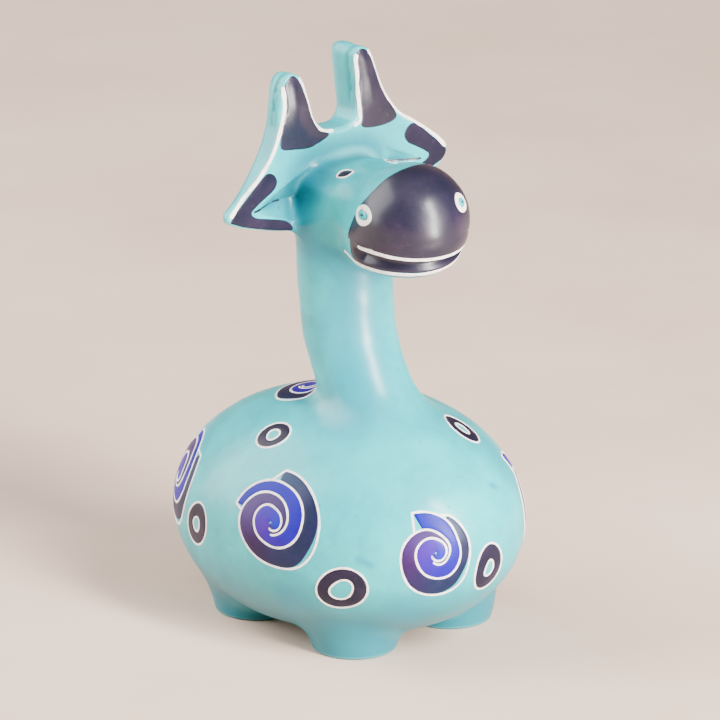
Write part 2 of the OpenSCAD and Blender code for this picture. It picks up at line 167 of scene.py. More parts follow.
# ---------------------------------------------------------------- head marks
# The lip lines run round the jaw's centre: turn in degrees from +X, and height.
UPPER_LIP = np.array([
    [168, 95.9], [178, 95.3], [198, 95.0], [224, 94.3], [248, 94.0],
    [272, 94.1], [296, 94.6], [318, 95.4], [342, 95.6], [372, 95.9]])
LOWER_LIP = np.array([
    [128, 93.1], [134, 91.9], [145, 91.1], [158, 90.6], [172, 90.3], [198, 89.9], [223, 89.7], [253, 89.7],
    [271, 90.1], [292, 91.0], [303, 91.7], [318, 92.9], [342, 92.2], [368, 91.2], [395, 91.8], [412, 93.1]])
UPPER_LIP_W = 1.0
LOWER_LIP_W = 1.4
MOUTH_DEPTH = 1.5
# Turns at which the groove's dye, the upper lip's line and the lower lip's line begin and end.
GROOVE_SPAN = (161, 376)
UPPER_SPAN = (177, 363)
LOWER_SPAN = (136, 404)
# Rear edge of the muzzle's dye: height, and y.
MUZZLE_EDGE = np.array([[92, -15.4], [94.5, -15], [96.7, -14.3], [99.3, -15], [104.5, -17.6], [106.8, -19.5],
                        [108.7, -20.6], [110.8, -21.6], [113, -23.5]])
NOSTRILS = {"right": (168.8, 12.9), "left": (-65.1, 24.9)}
NOSTRIL_RING = 2.4
NOSTRIL_WIDE = {"right": 1.45, "left": 1.0}
NOSTRIL_HOLE = 1.2
EYES = {"right": (181.8, 54.5), "left": (-1.8, 54.5)}
EYE_ROLL = 56
EYE_HALF = (1.7, 1.3)
EDGE_LINE = 1.1
# Scribed lines along the plate's front edges, x and z, from the ear's tip or the horn's top.
EDGE_LINES = {
    "right_outer": [[-31.9, 100.7], [-27.1, 105.3], [-22.7, 109.2], [-19.1, 113.5], [-17.1, 118.2],
                    [-16.0, 123], [-16.4, 128]],
    "right_inner": [[-11.3, 129.3], [-9.6, 126.6], [-7.9, 122.1], [-6.2, 117.6], [-4.9, 115.8],
                    [-1.4, 115.0]],
    "left_inner": [[4.9, 131.5], [5.6, 127], [6.0, 122], [6.3, 118], [6.4, 115.7], [4.4, 114.9]],
    "left_outer": [[8.9, 131.8], [11.4, 127.9], [13.7, 122.0], [18.0, 116], [23, 112.4], [28.4, 108.7],
                   [32.4, 104.6]],
}

# The dyed front of each horn, and the dyed V round the right ear's hollow: x and z.
HORN_DYES = {
    "right": [[-17.0, 113.8], [-16.7, 118.4], [-15.4, 123], [-15.8, 127.8], [-13.8, 129.9], [-11.9, 128.7],
              [-9.9, 124.8], [-7.8, 119.4], [-6.1, 116.6], [-4.6, 115.3], [-3.2, 114.8], [-2.8, 114.2],
              [-3.9, 113.6], [-6.3, 112.8], [-8.7, 112.3], [-12.6, 112.7]],
    "left": [[6.9, 116.2], [6.6, 120], [6.2, 124.1], [5.3, 130.7], [6.8, 132.3], [8.9, 131.2], [10.7, 127.4],
             [13.1, 121.8], [17.2, 115.7], [17.0, 114.0], [13.6, 113.3], [9.4, 113.5], [6.9, 114.3]],
}
EAR_DYE = [
    [-31.5, 100.3], [-26.5, 104.7], [-22.4, 108.1], [-20.8, 108.8], [-19.2, 108.2], [-18.2, 106.5],
    [-19.2, 104.6], [-22, 103.0], [-24.4, 101.6], [-25.6, 100.5], [-24.3, 99.2], [-20.5, 98.2],
    [-16.4, 97.1], [-14.3, 95.8], [-14.1, 94.2], [-19, 94.9], [-24.4, 96.6], [-30.6, 98.9]]
# How far the left ear's dye is moved from the mirror image of the right one.
LEFT_EAR_DYE_MOVE = (1.7, LEFT_EAR_RISE + 0.6)

# ---------------------------------------------------------------- where the stone is darker: dye, stains and painted shade
# Painted shade in hollows, partly also dye that gathers there: strength, and how wide a hollow it looks for.
HOLLOW_DYE_AND_SHADE = [(0.6, 3.5), (0.6, 8)]
# Darker low on the body, painted shade partly also dye that gathers there: strength, the height where it
# starts, and the depth it grows over.
LOW_DYE_AND_SHADE = (0.85, 30, 28)
# Edges and tips are rubbed paler: how wide an edge may be, and how far from the painted shade by the right
# ear's hollow they stay dark.
RUB_REACH = 1.2
RUB_CLEAR = 7.5
# Upright darker bands: two dye streaks below spirals, then painted shade on the neck's front right. Strength,
# x, y, lower end, upper end and width.
STREAKS_AND_NECK_SHADE = [(1.2, -29, -14, 3, 22, 3.2), (0.6, -15, -36, 4, 22, 4), (1.2, -8, -13, 42, 94, 8)]
# Painted shade where the right ear's hollow meets the cheek: this path's points.
EAR_SHADE_PATH = [[-11.5, -1, 105.5], [-12.5, 0, 101], [-12.5, 0, 96], [-11.5, 0, 92]]
# Paths of darker colour: painted shade under the brow, under the jaw and by the right ear's hollow, and two
# dye stains. Strength, width and points.
STAIN_AND_SHADE_PATHS = {
    "under_brow_painted_shade": (0.75, 2.4, [[-11.5, -1.5, 104.5], [-8.5, 0.5, 108.5], [-4.3, 1, 109], [0.1, 1, 109.3],
                         [6.8, 1, 109.3], [12, 1.5, 108]]),
    "chest_stain": (1, 0.9, [[-24.9, -32.0, 28.4], [-23.3, -34.2, 27.2]]),
    "breast_stain": (1, 0.9, [[6.4, -41.6, 41.2], [7.8, -40.9, 39.6]]),
    "under_jaw_painted_shade": (0.9, 1.9, [[-12.0, 1.2, 91.9], [-11.0, -4.5, 90.6], [-8.4, -8.3, 86], [-6.6, -9.7, 83.9]]),
    "ear_hollow_painted_shade": (1.1, 4.4, EAR_SHADE_PATH),
}

# ---------------------------------------------------------------- thin skins and the mesh
DYE_LIFT = 0.07
# How far a spiral's dark dye falls short of its outer line, and at which angle past the line's start.
DYE_SHORT = 0.8
DYE_SHORT_AT = 118
LINE_LIFT = 0.1
SKIN_DEPTH = 0.3
NET_STEP = 0.55


# ---------------------------------------------------------------- distances
def smooth_min(a, b, k):
    h = np.clip(0.5 + 0.5 * (b - a) / k, 0, 1)
    return b * (1 - h) + a * h - k * h * (1 - h)


def smooth_max(a, b, k):
    return -smooth_min(-a, -b, k)


def soft_step(t):
    t = np.clip(t, 0, 1)
    return t * t * (3 - 2 * t)


def egg_distance(p, mid, half):
    q = (p - mid) / half
    k0 = np.linalg.norm(q, axis=-1)
    k1 = np.linalg.norm(q / half, axis=-1) + 1e-9
    return k0 * (k0 - 1) / k1


def outline_distance(p, outline):
    """Signed distance of flat points to a closed outline, negative inside."""
    best = np.full(len(p), 1e9)
    inside = np.zeros(len(p), bool)
    for a, b in zip(outline, np.roll(outline, 1, axis=0)):
        e, w = b - a, p - a
        t = np.clip(w @ e / (e @ e), 0, 1)
        best = np.minimum(best, ((w - t[:, None] * e) ** 2).sum(1))
        spans = (a[1] > p[:, 1]) != (b[1] > p[:, 1])
        rise = b[1] - a[1] if b[1] != a[1] else 1e-9
        inside ^= spans & (p[:, 0] < a[0] + e[0] * (p[:, 1] - a[1]) / rise)
    return np.where(inside, -1, 1) * np.sqrt(best)


def smooth_loop(points, steps):
    """A smooth closed curve through points."""
    q = np.asarray(points, float)
    p, r, s = np.roll(q, 1, 0), np.roll(q, -1, 0), np.roll(q, -2, 0)
    t = (np.arange(steps) / steps)[None, :, None]
    p, q, r, s = p[:, None], q[:, None], r[:, None], s[:, None]
    curve = 0.5 * (2 * q + (r - p) * t + (2 * p - 5 * q + 4 * r - s) * t**2 + (3 * q - p - 3 * r + s) * t**3)
    return curve.reshape(-1, q.shape[-1])


def smooth_along(xs, ys, x):
    """A smooth curve through samples, with its slope kept steady at both ends."""
    xs, ys = np.asarray(xs, float), np.asarray(ys, float)
    slope = np.gradient(ys, xs)
    i = np.clip(np.searchsorted(xs, x) - 1, 0, len(xs) - 2)
    h = xs[i + 1] - xs[i]
    t = np.clip((x - xs[i]) / h, 0, 1)
    return (ys[i] * (1 + 2 * t) * (1 - t) ** 2 + slope[i] * h * t * (1 - t) ** 2
            + ys[i + 1] * t * t * (3 - 2 * t) + slope[i + 1] * h * t * t * (t - 1))


class FlatField:
    """Distances to a closed outline, worked out once on a fine grid."""

    def __init__(self, outline, low, high, step):
        self.low, self.step = np.array(low, float), step
        n = ((np.array(high) - low) / step).astype(int) + 1
        xs, ys = np.meshgrid(np.arange(n[0]), np.arange(n[1]), indexing="ij")
        flat = self.low + np.stack([xs.ravel(), ys.ravel()], 1) * step
        self.values = outline_distance(flat, outline).reshape(n)

    def at(self, p):
        q = np.clip((p - self.low) / self.step, 0, np.array(self.values.shape) - 1.001)
        i = q.astype(int)
        f = q - i
        v, x, y = self.values, i[:, 0], i[:, 1]
        left = v[x, y] * (1 - f[:, 1]) + v[x, y + 1] * f[:, 1]
        right = v[x + 1, y] * (1 - f[:, 1]) + v[x + 1, y + 1] * f[:, 1]
        return left * (1 - f[:, 0]) + right * f[:, 0]


PLATE_OUTLINE = smooth_loop(PLATE, 5)
PLATE_FIELD = FlatField(PLATE_OUTLINE, (-44, 80), (44, 142), 0.2)


def tilted(tilt):
    """The axes of something tilted about X, as the rows of a matrix."""
    c, s = math.cos(tilt), math.sin(tilt)
    return np.array([[1, 0, 0], [0, c, s], [0, -s, c]])


def from_size(size, q, half, deepest):
    """Distance to an egg from a point's size in it; deepest is the most that it can be."""
    steep = np.linalg.norm(q / half, axis=1) / np.maximum(np.linalg.norm(q, axis=1), 1e-6)
    return (size - 1) / np.maximum(steep, 1 / deepest)


def flat_bottomed(q, half, lower_power, deepest):
    """Distance to an egg whose lower half is boxier, for points in shares of its half-sizes."""
    flat = np.hypot(q[:, 0], q[:, 1])
    power = np.where(q[:, 2] < 0, lower_power, 2.0)
    size = (flat**power + np.abs(q[:, 2]) ** power) ** (1 / power)
    return from_size(size, q, half, deepest)


def torso_distance(p):
    q = (p - TORSO_MID) @ tilted(TORSO_TILT).T / TORSO_HALF
    return smooth_max(flat_bottomed(q, TORSO_HALF, BELLY_POWER, 49), BELLY_Z - p[:, 2], BLEND["belly"])


def feet_distance(p):
    best = np.full(len(p), 1e9)
    for sx in (-1, 1):
        for sy in (-1, 1):
            mid = np.array([FEET_MID[0] + sx * FEET_REACH[0], FEET_MID[1] + sy * FEET_REACH[1], FOOT_Z])
            best = np.minimum(best, egg_distance(p, mid, FOOT_HALF))
    return best


def neck_distance(p):
    z = np.clip(p[:, 2], NECK[0, 0], NECK[-1, 0])
    y = smooth_along(NECK[:, 0], NECK[:, 1], z)
    wide = smooth_along(NECK[:, 0], NECK[:, 2], z) * NECK_HALF
    deep = smooth_along(NECK[:, 0], NECK[:, 3], z) * NECK_HALF
    size = np.hypot((p[:, 0] - NECK_X) / wide, (p[:, 1] - y) / deep)
    ends = np.maximum(p[:, 2] - NECK[-1, 0], NECK[0, 0] - p[:, 2])
    return smooth_max((size - 1) * np.minimum(wide, deep), ends, BLEND["neck_ends"])


def ear_hollow_depth(p):
    """How deep the hollow of the nearer ear is at a point of the front view."""
    side = np.where(p[:, 0] > 0, 1.0, -1.0)
    x = -np.abs(p[:, 0])
    z = p[:, 2] - np.where(side > 0, LEFT_EAR_RISE, 0)
    (x0, z0), (x1, z1) = EAR_CREASE
    share = np.clip((x - x0) / (x1 - x0), 0, 1.5)
    crease = z0 + (z1 - z0) * share
    top = z0 + (EAR_HOLLOW_TOP[1] - z0) * share
    low = z0 + (EAR_HOLLOW_LOW[1] - z0) * share
    above = (z - crease) / np.maximum(top - crease, 0.01)
    below = (crease - z) / np.maximum(crease - low, 0.01)
    off = np.where(z > crease, above, below)
    depth = EAR_HOLLOW_D * soft_step(share * 1.6) * np.clip(1 - off, 0, 1) ** 0.8
    end = np.where(side > 0, *EAR_HOLLOW_END)
    return depth * soft_step((end - share) / 0.35) * (x > x0)


def plate_distance(p):
    half_x, mid_y, half_y, low_z = PLATE_REACH
    out_y = np.abs(p[:, 1] - mid_y) - half_y
    far = np.maximum(np.maximum(np.abs(p[:, 0]) - half_x, out_y), low_z - p[:, 2]) + PLATE_MARGIN
    near = far < PLATE_MARGIN
    d = np.maximum(far, PLATE_MARGIN)
    q = p[near]
    flat = PLATE_FIELD.at(q[:, [0, 2]])
    share = np.clip((np.abs(q[:, 0]) - EAR_ROOT_X) / (EAR_TIP_X - EAR_ROOT_X), 0, 1)
    up = soft_step((q[:, 2] - HORN_FOOT[0]) / HORN_FOOT[1])
    horn = up * np.where(q[:, 0] < 0, *HORN_THICK)
    back = PLATE_Y + PLATE_T + horn - share * (PLATE_T - EAR_TIP_T)
    dome = HORN_DOME * up * soft_step(-flat / 5)
    front = PLATE_Y + ear_hollow_depth(q) - dome
    thick = np.abs(q[:, 1] - (front + back) / 2) - (back - front) / 2
    rim = np.where(q[:, 1] > PLATE_Y + 2, REAR_ROUND + HORN_ROUND * up, FRONT_ROUND)
    d[near] = smooth_max(flat, thick, rim)
    return d


def jaw_distance(p):
    mid, half = JAW
    return flat_bottomed((p - mid) / half, half, CHIN_POWER, 14)


def skull_distance(p):
    mid, half = SKULL
    q = (p - mid) / half
    flat = (np.abs(q[:, 0]) ** SKULL_POWER + np.abs(q[:, 2]) ** SKULL_POWER) ** (1 / SKULL_POWER)
    return from_size(np.hypot(flat, q[:, 1]), q, half, 15)


def lip_turn(p):
    """Turn of a point round the jaw's centre, from 90 degrees at the back round to 450."""
    return (np.degrees(np.arctan2(p[:, 1] - JAW[0][1], p[:, 0] - JAW[0][0])) - 90) % 360 + 90


def upper_lip_z(turn):
    return smooth_along(UPPER_LIP[:, 0], UPPER_LIP[:, 1], turn)


def lower_lip_z(turn):
    return smooth_along(LOWER_LIP[:, 0], LOWER_LIP[:, 1], turn)


def mouth_hollow(p):
    """How far the mouth's surface is sunk: deepest under the upper lip, nothing at the lower."""
    turn = lip_turn(p)
    top = upper_lip_z(turn) - UPPER_LIP_W / 2
    low = lower_lip_z(turn) + LOWER_LIP_W / 2
    share = (p[:, 2] - low) / np.maximum(top - low, 0.3)
    profile = soft_step(share / 0.75) * soft_step((1.02 - share) / 0.22)
    ends = soft_step((turn - 168) / 14) * soft_step((370 - turn) / 14)
    return MOUTH_DEPTH * profile * ends * (p[:, 1] < -12)


def head_distance(p):
    skull = skull_distance(p)
    snout = smooth_min(egg_distance(p, *MUZZLE), jaw_distance(p), BLEND["jaw"]) + mouth_hollow(p)
    return smooth_min(plate_distance(p), smooth_min(skull, snout, BLEND["snout"]), BLEND["plate"])


def tool_waves(p):
    """The gentle unevenness that rasp and sandpaper leave."""
    x, y, z = p[:, 0], p[:, 1], p[:, 2]
    broad = np.sin(x * 0.21 + 1.3 * np.sin(z * 0.13)) * np.sin(y * 0.17 + 0.8)
    broad = broad * np.sin(z * 0.19 + x * 0.05 + 2)
    small = np.sin(x * 0.55 + z * 0.31 + 1) * np.sin(y * 0.5 - z * 0.38) * np.sin(z * 0.47 + y * 0.2)
    return 0.13 * broad + 0.05 * small


def stone_distance(p):
    body = smooth_min(torso_distance(p), feet_distance(p), BLEND["feet"])
    body = smooth_min(body, neck_distance(p), BLEND["neck"])
    body = smooth_min(body, head_distance(p), BLEND["head"]) + tool_waves(p) * soft_step((p[:, 2] - 2) / 8)
    return smooth_max(body, -p[:, 2], BLEND["soles"])


def slopes(p, step=0.05):
    g = np.empty_like(p)
    for i in range(3):
        d = np.zeros(3)
        d[i] = step
        g[:, i] = (stone_distance(p + d) - stone_distance(p - d)) / (2 * step)
    return g


def outward(p):
    g = slopes(p)
    return g / np.maximum(np.linalg.norm(g, axis=1, keepdims=True), 1e-9)


def settle(p, rounds=3):
    """Moves points onto the stone's surface along its slope."""
    for _ in range(rounds):
        g = slopes(p)
        move = stone_distance(p)[:, None] * g / np.maximum((g**2).sum(1, keepdims=True), 0.05)
        p = p - np.clip(move, -0.5, 0.5)
    return p


def drop(p, way, rounds=40):
    """Moves points onto the stone's surface along one direction, from outside."""
    way = np.broadcast_to(way, p.shape)
    for _ in range(rounds):
        p = p + way * (stone_distance(p) * 0.8)[:, None]
    return p


# ---------------------------------------------------------------- the stone's mesh
def sample_grid(low, high, step, coarse=4):
    """Distances on a grid, worked out in full only near the surface."""
    counts = (np.ceil((high - low) / step / coarse).astype(int) + 1) * coarse
    index = np.indices(counts // coarse + 1).reshape(3, -1).T
    rough = stone_distance(low + index * step * coarse).reshape(counts // coarse + 1)
    values = np.repeat(np.repeat(np.repeat(rough, coarse, 0), coarse, 1), coarse, 2)
    values = values[:counts[0], :counts[1], :counts[2]]
    near = np.argwhere(np.abs(values) < 3.2 * coarse * step)
    values[tuple(near.T)] = stone_distance(low + near * step)
    return values


def net_points(values, low, step):
    """One point in each grid cell that the surface crosses, and the cell's number."""
    solid = values < 0
    n = np.array(values.shape) - 1
    corners = [(i, j, k) for i in (0, 1) for j in (0, 1) for k in (0, 1)]

    def corner(grid, c):
        return grid[c[0]:n[0] + c[0], c[1]:n[1] + c[1], c[2]:n[2] + c[2]]

    filled = sum(corner(solid, c).astype(int) for c in corners)
    cells = np.argwhere((filled > 0) & (filled < 8))
    total = np.zeros((len(cells), 3))
    crossed = np.zeros(len(cells))
    for a in corners:
        for axis in range(3):
            if a[axis]:
                continue
            b = list(a)
            b[axis] = 1
            va = values[tuple((cells + a).T)]
            vb = values[tuple((cells + b).T)]
            cut = (va < 0) != (vb < 0)
            t = np.where(cut, va / np.where(va == vb, 1, va - vb), 0)
            spot = np.tile(np.array(a, float), (len(cells), 1))
            spot[:, axis] = t
            total += spot * cut[:, None]
            crossed += cut
    number = np.full(n, -1)
    number[tuple(cells.T)] = np.arange(len(cells))
    return low + (cells + total / crossed[:, None]) * step, number


def net_faces(values, number):
    solid = values < 0
    faces = []
    for axis in range(3):
        b, c = (axis + 1) % 3, (axis + 2) % 3
        head = [slice(None)] * 3
        tail = [slice(None)] * 3
        head[axis] = slice(0, -1)
        tail[axis] = slice(1, None)
        first, second = solid[tuple(head)], solid[tuple(tail)]
        edges = np.argwhere(first != second)
        edges = edges[(edges[:, b] > 0) & (edges[:, c] > 0)]
        step_b, step_c = np.eye(3, dtype=int)[b], np.eye(3, dtype=int)[c]
        ring = [number[tuple((edges - o).T)] for o in (0 * step_b, step_b, step_b + step_c, step_c)]
        quads = np.stack(ring, 1)
        leaving = first[tuple(edges.T)]
        faces.append(np.where(leaving[:, None], quads, quads[:, ::-1]))
    return np.concatenate(faces)


def stone_mesh():
    low = np.array([-36.0, -52.0, -3.0])
    high = np.array([36.0, 52.0, 136.0])
    values = sample_grid(low, high, NET_STEP)
    points, number = net_points(values, low, NET_STEP)
    return settle(points), net_faces(values, number)


def shade(red, green=0.0, blue=0.0):
    """Shares for a mesh's dye attribute, one row a point."""
    one = np.ones(len(red))
    return np.stack([red, green * one, blue * one, one], 1)


def add_mesh(name, points, faces, colours=None):
    mesh = bpy.data.meshes.new(name)
    mesh.from_pydata((np.asarray(points) * MM).tolist(), [], [tuple(int(i) for i in f) for f in faces])
    if colours is not None:
        layer = mesh.color_attributes.new("dye", "FLOAT_COLOR", "POINT")
        layer.data.foreach_set("color", np.asarray(colours, np.float32).ravel())
    mesh.validate()
    mesh.shade_smooth()
    piece = bpy.data.objects.new(name, mesh)
    bpy.context.scene.collection.objects.link(piece)
    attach(piece, "root")
    return piece


def hollowness(p, normal, reach):
    """How far a point lies in a hollow, from 0 in the open to 1."""
    return np.clip(1 - stone_distance(p + normal * reach) / reach, 0, 1)


def worn(p, normal, reach):
    """How far a point lies on an edge or tip, from 0 on flat stone to 1."""
    return np.clip(stone_distance(p - normal * reach) / reach + 1, 0, 1)


def upright_band(p, x, y, low, high, width):
    """A soft upright band of darker colour: dye run down below a spiral, or painted shade on the neck."""
    away = np.hypot(p[:, 0] - x, p[:, 1] - y) / width
    tall = soft_step((p[:, 2] - low) / 6) * soft_step((high - p[:, 2]) / 4)
    return np.exp(-away**2) * tall


def near_path(p, path, width):
    """A soft band along a bent path: darker colour for dye stains or painted shade."""
    best = np.full(len(p), 1e9)
    path = np.array(path, float)
    for a, b in zip(path[:-1], path[1:]):
        t = np.clip((p - a) @ (b - a) / ((b - a) @ (b - a)), 0, 1)
        best = np.minimum(best, np.linalg.norm(p - a - t[:, None] * (b - a), axis=1))
    return np.exp(-(best / width) ** 2)


def build_stone():
    points, faces = stone_mesh()
    normal = outward(points)
    # Darker in hollows and low down: painted shade, partly also dye.
    hollow = sum(strength * hollowness(points, normal, reach) for strength, reach in HOLLOW_DYE_AND_SHADE)
    strength, top, depth = LOW_DYE_AND_SHADE
    hollow += strength * soft_step((top - points[:, 2]) / depth)
    # Darker bands and paths: dye streaks and stains, and painted shade on the neck, under the brow, under the
    # jaw and by the right ear's hollow.
    stains_and_shade = sum(strength * upright_band(points, *spot) for strength, *spot in STREAKS_AND_NECK_SHADE)
    stains_and_shade += sum(strength * near_path(points, path, width) for strength, width, path in STAIN_AND_SHADE_PATHS.values())
    clear = np.clip(2 * near_path(points, EAR_SHADE_PATH, RUB_CLEAR), 0, 1)
    rubbed = worn(points, normal, RUB_REACH) * (1 - clear)
    colours = shade(np.clip(hollow, 0, 1), np.clip(stains_and_shade, 0, 1), rubbed)
    piece = add_mesh("stone_body", points, faces, colours)
    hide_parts("carved_stone")


# ---------------------------------------------------------------- thin skins of dye and line
def closed_skin(name, points, normal, lift, faces, colours=None):
    """A thin closed body: points lifted off the stone, and the same points sunk into it."""
    count = len(points)
    top = points + normal * np.asarray(lift)[:, None]
    bottom = points - normal * SKIN_DEPTH
    faces = [list(f) for f in faces]
    sides = {}
    for f in faces:
        for a, b in zip(f, f[1:] + f[:1]):
            sides[(a, b)] = True
    rim = [(a, b) for a, b in sides if (b, a) not in sides]
    under = [[i + count for i in reversed(f)] for f in faces]
    walls = [[b, a, a + count, b + count] for a, b in rim]
    if colours is not None:
        colours = np.concatenate([colours, colours])
    return add_mesh(name, np.concatenate([top, bottom]), faces + under + walls, colours)


def grid_faces(rows, columns, closed=False):
    faces = []
    for i in range(rows if closed else rows - 1):
        for j in range(columns - 1):
            a, b = i * columns + j, (i + 1) % rows * columns + j
            faces.append([a, b, b + 1, a + 1])
    return faces


class Spot:
    """A flat drawing board that touches an egg, looking straight out of it."""

    def __init__(self, mid, half, turn, rise, roll=0.0, tilt=0.0):
        t, r = math.radians(turn), math.radians(rise)
        way = np.array([math.cos(r) * math.cos(t), math.cos(r) * math.sin(t), math.sin(r)])
        n = way / half
        n /= np.linalg.norm(n)
        u = np.cross([0, 0, 1], n)
        u /= np.linalg.norm(u)
        v = np.cross(n, u)
        c, s = math.cos(math.radians(roll)), math.sin(math.radians(roll))
        board = np.array([half * way, n, u * c - v * s, u * s + v * c]) @ tilted(tilt)
        self.p = mid + board[0]
        self.n, self.u, self.v = board[1:]

    def surface(self, flat):
        start = self.p + flat[:, :1] * self.u + flat[:, 1:] * self.v + self.n * 3
        return drop(start, -self.n, 14)


class Front:
    """The flat front of the plate that carries ears and horns: across, and up."""

    def surface(self, flat):
        start = np.stack([flat[:, 0], np.full(len(flat), PLATE_Y - 5.0), flat[:, 1]], 1)
        return drop(start, np.array([0, 1.0, 0]), 14)


def dye_grid(name, board, flat, rows, columns, colours=None, closed=False):
    """A dyed field from rows of flat points; its rim is drawn down to the stone."""
    points = board.surface(flat)
    normal = outward(points)
    lift = np.full((rows, columns), DYE_LIFT)
    lift[:, [0, -1]] = 0.01
    if not closed:
        lift[[0, -1]] = 0.01
    faces = facing_out(grid_faces(rows, columns, closed), points, normal)
    piece = closed_skin(name, points, normal, lift.ravel(), faces, colours)
    return piece


def facing_out(faces, points, normal):
    """Turns all faces round if most of them look into the stone."""
    f = np.array([q[:3] for q in faces])
    cross = np.cross(points[f[:, 1]] - points[f[:, 0]], points[f[:, 2]] - points[f[:, 0]])
    if (cross * normal[f[:, 0]]).sum() < 0:
        return [list(q)[::-1] for q in faces]
    return faces


def spaced(path, step, closed=False):
    """Points at even steps along a path."""
    path = np.asarray(path, float)
    if closed:
        path = np.concatenate([path, path[:1]])
    length = np.concatenate([[0], np.cumsum(np.linalg.norm(np.diff(path, axis=0), axis=1))])
    count = max(int(length[-1] / step), 6)
    at = np.linspace(0, length[-1], count + 1)
    if closed:
        at = at[:-1]
    return np.stack([np.interp(at, length, path[:, i]) for i in range(path.shape[1])], 1)


GROOVE = [(-1.0, 0.0), (-0.8, 1.0), (-0.4, 0.7), (0.0, 0.0), (0.4, 0.7), (0.8, 1.0), (1.0, 0.0)]


def engraved(name, points, width, closed=False, wobble=0.12, seed=1.0, floor=0.03, rim=LINE_LIFT):
    """A scribed line of bare stone along points on the surface, with a shallow V in it."""
    count = len(points)
    ahead = np.roll(points, -1, 0) - np.roll(points, 1, 0)
    if not closed:
        ahead[0], ahead[-1] = points[1] - points[0], points[-1] - points[-2]
    normal = outward(points)
    side = np.cross(normal, ahead)
    side /= np.maximum(np.linalg.norm(side, axis=1, keepdims=True), 1e-9)
    t = np.arange(count)
    half = np.asarray(width) / 2 * (1 + wobble * np.sin(t * 0.31 + seed) * np.sin(t * 0.13 + 2 * seed))
    if not closed:
        from_end = np.minimum(t, t[::-1]) * 0.3
        half = half * np.sqrt(np.clip(from_end / 0.35 + 0.12, 0, 1))
    cols = len(GROOVE)
    across = np.array([g[0] for g in GROOVE])
    lift = np.tile([floor + (rim - floor) * g[1] for g in GROOVE], (count, 1))
    lift[:, [0, -1]] = 0.0
    spread = points[:, None] + side[:, None] * (across[None, :] * half[:, None])[..., None]
    flat = settle(spread.reshape(-1, 3), 1)
    way = outward(flat)
    faces = facing_out(grid_faces(count, cols, closed), flat, way)
    closed_skin(name, flat, way, lift.ravel(), faces)


# ---------------------------------------------------------------- spirals
class Drawing:
    """The two lines of one kind of spiral."""

    def __init__(self, outer, outer_start, inner, inner_start, lean):
        self.outer, self.outer_start = outer, outer_start
        self.inner, self.inner_start = inner, inner_start
        self.outer_end = outer_start + 45.0 * (len(outer) - 1)
        self.inner_end = inner_start + 45.0 * (len(inner) - 1)
        self.lean = lean

    def outer_at(self, angle):
        return line_radius(self.outer, self.outer_start, angle)

    def inner_at(self, angle):
        return line_radius(self.inner, self.inner_start, angle)


def line_radius(shares, start, angle):
    return SPIRAL_R * smooth_along(start + 45.0 * np.arange(len(shares)), shares, angle)


def clock(radius, angle):
    a = np.radians(angle)
    return np.stack([radius * np.sin(a), radius * np.cos(a)], -1)


def band(angle, far, near, size, short=0.0, across=8):
    """Rows of points between two radii, kept half a line's width off both and short of the far one."""
    gap = LINE_W * 0.42
    share = np.linspace(0, 1, across)
    share[1], share[-2] = 0.06, 0.94
    far, near = far - gap - short, near + gap
    middle = np.maximum(far, near + 0.05)
    radius = near[:, None] + (middle - near)[:, None] * share
    return clock(radius, angle[:, None]).reshape(-1, 2) * size


def spiral_colours(angle, across, start, end):
    """How far round and how far across each point of a band lies, for its shading."""
    wind = np.repeat((angle - start) / (end - start), across)
    return shade(wind, np.tile(np.linspace(0, 1, across), len(angle)))


def spiral(name, place, index):
    drawing = Drawing(**DRAWINGS[place[0]])
    board = Spot(TORSO_MID, TORSO_HALF, *place[1:4], TORSO_TILT)
    size = np.array(place[4:])
    start, end = drawing.outer_start, drawing.outer_end
    angle = np.arange(start + 1.5, end, 3.0)
    # The dye stops short of the outer line low on the right, where the brush missed the corner.
    short = DYE_SHORT * np.exp(-((angle - start - DYE_SHORT_AT) / 24) ** 2)
    flat = band(angle, drawing.outer_at(angle), drawing.inner_at(angle), size, short)
    colours = spiral_colours(angle, 8, start, end)
    piece = dye_grid(f"{name}_spiral_dark", board, flat, len(angle), 8, colours)
    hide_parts(f"{name}_spiral_dark")
    angle = np.arange(drawing.inner_start + 2, drawing.inner_end, 3.0)
    near = drawing.outer_at(np.minimum(angle + 360, end)) * (angle + 360 < end)
    flat = band(angle, drawing.inner_at(angle), near, size)
    colours = spiral_colours(angle, 8, drawing.inner_start, drawing.inner_end)
    piece = dye_grid(f"{name}_spiral_blue", board, flat, len(angle), 8, colours)
    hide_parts(f"{name}_spiral_blue")
    spiral_lines(name, board, drawing, size, index)


def spiral_lines(name, board, drawing, size, index):
    start = drawing.outer_start
    angle = np.arange(start + 4, drawing.outer_end, 2.0)
    path = clock(drawing.outer_at(angle), angle)
    join = clock(drawing.inner_at(np.array([start - 12.0])), start - 12.0)
    outer = spaced(np.concatenate([join, path]) * size, 0.3)
    engraved(f"{name}_outer_line", board.surface(outer), LINE_W, seed=index)
    start = drawing.inner_start
    angle = np.arange(start + 1, drawing.inner_end, 2.0)
    path = clock(drawing.inner_at(angle), angle)
    tip = clock(drawing.outer_at(np.array([start + 360 - drawing.lean])), start - drawing.lean)
    inner = spaced(np.concatenate([tip, path]) * size, 0.3)
    engraved(f"{name}_inner_line", board.surface(inner), LINE_W, seed=index + 0.5)


# ---------------------------------------------------------------- rings
def ring_radius(angle, seed, ripple):
    a = np.radians(angle)
    return 1 + ripple * (np.sin(2 * a + seed) + 0.5 * np.sin(3 * a + 2.1 * seed))


